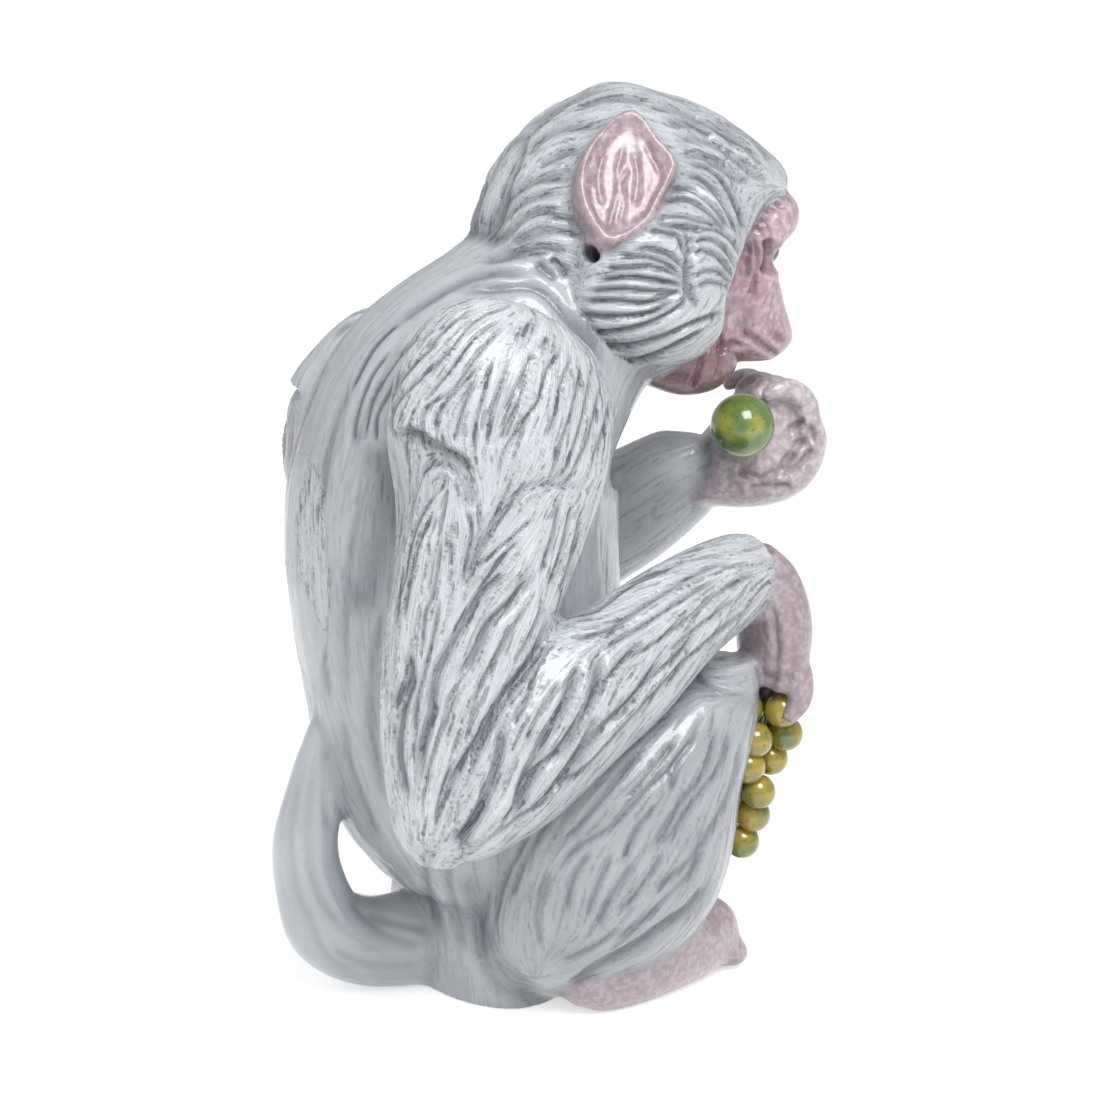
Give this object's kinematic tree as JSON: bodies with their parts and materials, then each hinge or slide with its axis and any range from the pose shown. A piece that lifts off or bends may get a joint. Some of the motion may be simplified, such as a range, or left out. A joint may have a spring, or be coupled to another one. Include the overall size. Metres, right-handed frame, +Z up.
{
  "type": "monkey figurine",
  "caption": "Glazed ceramic monkey squatting with one grape at its mouth and a bunch of grapes hanging at its knee, tail curled up against its back.",
  "frame": {"origin": "middle of the footprint, on the surface the figure stands on", "axes": "+Z up; the monkey faces -Y; its right side is -X"},
  "size_m": [0.1734, 0.203, 0.2931],
  "materials": {
    "white_glaze": "glossy white glaze over carved hair, pooling grey in the grooves",
    "rose_glaze": "glossy mottled rose glaze over bare skin",
    "dark_glaze": "glossy dark glaze",
    "green_glaze": "glossy green glaze, yellow at the tip, brown specks",
    "yellow_glaze": "glossy yellow glaze with green and ochre patches"
  },
  "bodies": {
    "root": {"bunch_grape_01": "yellow_glaze", "bunch_grape_02": "yellow_glaze", "bunch_grape_03": "yellow_glaze", "bunch_grape_04": "yellow_glaze", "bunch_grape_05": "yellow_glaze", "bunch_grape_06": "yellow_glaze", "bunch_grape_07": "yellow_glaze", "bunch_grape_08": "yellow_glaze", "bunch_grape_09": "yellow_glaze", "bunch_grape_10": "yellow_glaze", "bunch_grape_11": "yellow_glaze", "bunch_grape_12": "yellow_glaze", "bunch_grape_13": "yellow_glaze", "bunch_grape_14": "yellow_glaze", "bunch_grape_15": "yellow_glaze", "bunch_grape_16": "yellow_glaze", "bunch_grape_17": "yellow_glaze", "bunch_stem": "yellow_glaze", "cheek_ruff_left": "white_glaze", "cheek_ruff_right": "white_glaze", "ear_left": "rose_glaze", "ear_right": "rose_glaze", "eye_left": "dark_glaze", "eye_right": "dark_glaze", "face": "rose_glaze", "foot_left": "rose_glaze", "foot_right": "rose_glaze", "forearm_left": "white_glaze", "forearm_right": "white_glaze", "hand_left": "rose_glaze", "hand_right": "rose_glaze", "head_shell": "white_glaze", "held_grape": "green_glaze", "leg_left": "white_glaze", "leg_right": "white_glaze", "lower_jaw": "rose_glaze", "tail": "white_glaze", "torso_shell": "white_glaze", "upper_arm_left": "white_glaze", "upper_arm_right": "white_glaze"}
  },
  "joints": []
}
